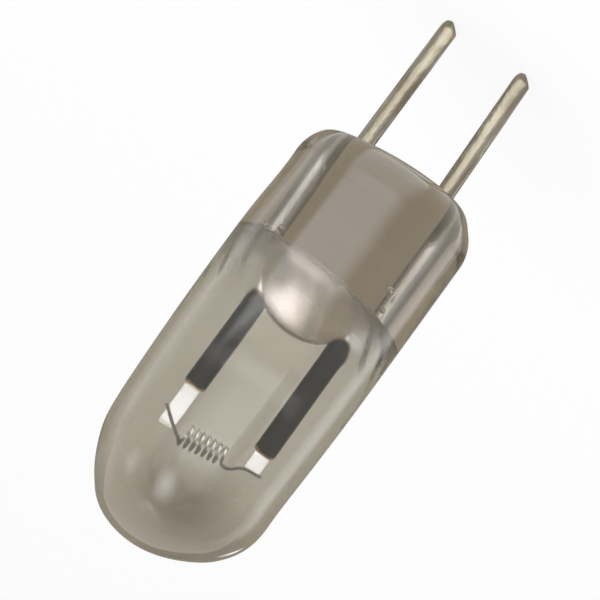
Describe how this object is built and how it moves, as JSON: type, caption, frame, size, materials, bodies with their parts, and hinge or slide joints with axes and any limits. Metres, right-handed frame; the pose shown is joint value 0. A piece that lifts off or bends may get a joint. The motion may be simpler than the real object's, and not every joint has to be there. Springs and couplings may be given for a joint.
{
  "type": "xenon bulb",
  "caption": "Miniature two-pin xenon torch bulb: a clear round-nosed glass tube on a solid glass stem, with inner posts that carry a coiled filament.",
  "frame": {"origin": "on the flat glass end, midway between the two contact pins", "axes": "+Z along the bulb from its base to the dome; the pins point along -Z and are spaced along X"},
  "size_m": [0.0054, 0.0054, 0.0165],
  "materials": {
    "envelope_glass": "clear blown glass, fire polished",
    "stem_glass": "clear solid glass with a few seeds",
    "pin_metal": "drawn nickel-plated wire, slightly warm",
    "seal_wire_metal": "drawn wire, bright where the glass wets it",
    "post_metal": "dark drawn wire with a bright pressed tab",
    "filament_metal": "drawn tungsten, satin grey"
  },
  "bodies": {
    "root": {"glass_envelope": "envelope_glass", "glass_stem": "stem_glass", "left_pin": "pin_metal", "right_pin": "pin_metal", "left_seal_wire": "seal_wire_metal", "right_seal_wire": "seal_wire_metal", "left_post": "post_metal", "right_post": "post_metal", "filament": "filament_metal"}
  },
  "joints": []
}
